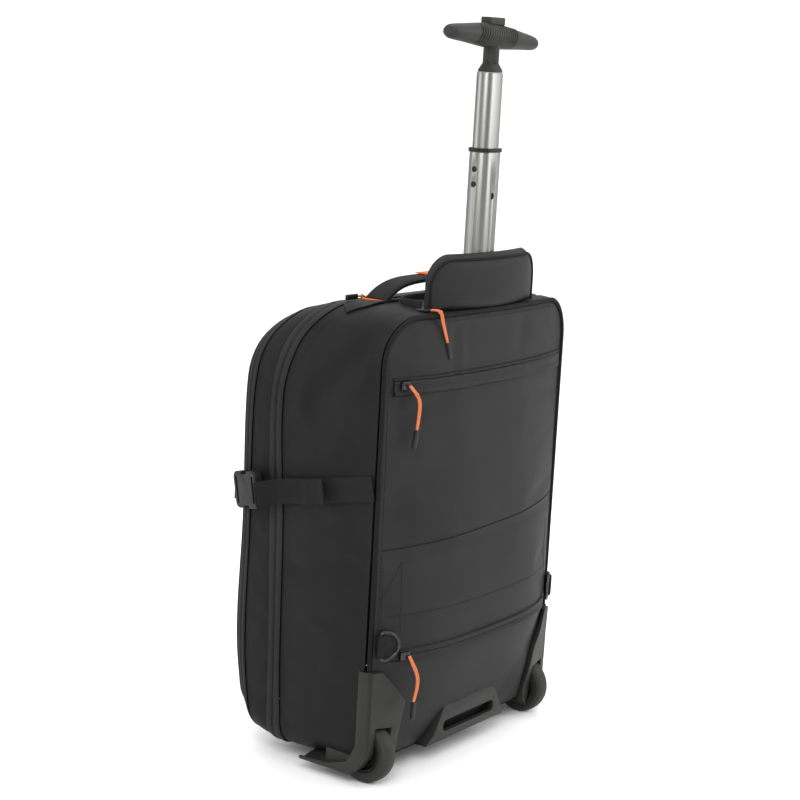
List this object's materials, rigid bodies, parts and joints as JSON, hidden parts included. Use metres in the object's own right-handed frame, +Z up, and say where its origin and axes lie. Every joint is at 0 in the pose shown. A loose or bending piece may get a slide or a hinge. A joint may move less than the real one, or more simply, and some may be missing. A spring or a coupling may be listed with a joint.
{
  "type": "wheeled backpack",
  "caption": "Padded cabin-size backpack on wheels, with a domed back panel, a top hood and a telescopic pull handle.",
  "frame": {"origin": "middle of the floor under the bag, at the bottom of its bounding box", "axes": "+X runs across the back panel towards its right edge as seen from behind, +Y points from the trolley side to the front, +Z points up"},
  "size_m": [0.3912, 0.2292, 0.8035],
  "materials": {
    "panel_cloth": "coated, semi-matte",
    "side_cloth": "coated, semi-matte",
    "zip_cloth": "coated tape",
    "webbing": "ribbed weave",
    "orange_cord": "woven",
    "moulded_plastic": "fine grain",
    "drawn_tube": "satin, drawn lengthwise",
    "plated_steel": "dark plated",
    "wheel_tread": "smooth tread",
    "foot_rubber": "matte"
  },
  "bodies": {
    "bag": {"back_panel": "panel_cloth", "front_panel": "panel_cloth", "hood": "panel_cloth", "main_gusset": "side_cloth", "front_gusset": "side_cloth", "handle_anchor_left": "side_cloth", "handle_anchor_right": "side_cloth", "main_zip_band": "zip_cloth", "front_zip_band": "zip_cloth", "upper_zip_strip": "zip_cloth", "lower_zip_strip": "zip_cloth", "back_piping": "zip_cloth", "trolley_well_rim": "zip_cloth", "grab_handle": "webbing", "side_strap_left": "webbing", "side_strap_right": "webbing", "front_strap_left": "webbing", "front_strap_right": "webbing", "d_ring_loop_left": "webbing", "d_ring_loop_right": "webbing", "handle_trim_left": "orange_cord", "handle_trim_right": "orange_cord", "handle_top_trim": "orange_cord", "upper_pull_cord": "orange_cord", "lower_pull_cord": "orange_cord", "hood_pull_cord": "orange_cord", "main_pull_cord": "orange_cord", "buckle_left": "moulded_plastic", "buckle_right": "moulded_plastic", "wheel_housing_left": "moulded_plastic", "wheel_housing_right": "moulded_plastic", "grab_plate": "moulded_plastic", "trolley_bezel": "moulded_plastic", "upper_pull_tip": "moulded_plastic", "lower_pull_tip": "moulded_plastic", "hood_pull_tip": "moulded_plastic", "main_pull_tip": "moulded_plastic", "trolley_channel": "drawn_tube", "d_ring_left": "plated_steel", "d_ring_right": "plated_steel", "axle_left": "plated_steel", "axle_right": "plated_steel", "upper_zip_slider": "plated_steel", "lower_zip_slider": "plated_steel", "hood_zip_slider": "plated_steel", "main_zip_slider": "plated_steel", "front_foot_left": "foot_rubber", "front_foot_right": "foot_rubber"},
    "outer": {"outer_stage": "drawn_tube", "outer_collar": "moulded_plastic", "stage_rivet_high": "moulded_plastic", "stage_rivet_low": "moulded_plastic"},
    "inner": {"inner_stage": "drawn_tube", "t_grip": "moulded_plastic"},
    "button": {"push_button": "moulded_plastic"},
    "wheel_left": {"hub_left": "moulded_plastic", "tyre_left": "wheel_tread"},
    "wheel_right": {"hub_right": "moulded_plastic", "tyre_right": "wheel_tread"}
  },
  "joints": [
    {"name": "outer_slide", "type": "slide", "parent": "bag", "child": "outer", "axis": [0, 0, 1], "range_m": [-0.163, 0.12]},
    {"name": "inner_slide", "type": "slide", "parent": "outer", "child": "inner", "axis": [0, 0, 1], "range_m": [-0.078, 0.12]},
    {"name": "button_press", "type": "slide", "parent": "inner", "child": "button", "axis": [0, 0, 1], "range_m": [-0.003, 0], "stiffness_N_per_m": 400, "springref_m": 0.001},
    {"name": "wheel_left_spin", "type": "hinge", "parent": "bag", "child": "wheel_left", "pos_m": [-0.153, -0.06816, 0.033], "axis": [1, 0, 0], "continuous": true},
    {"name": "wheel_right_spin", "type": "hinge", "parent": "bag", "child": "wheel_right", "pos_m": [0.153, -0.06816, 0.033], "axis": [1, 0, 0], "continuous": true}
  ]
}
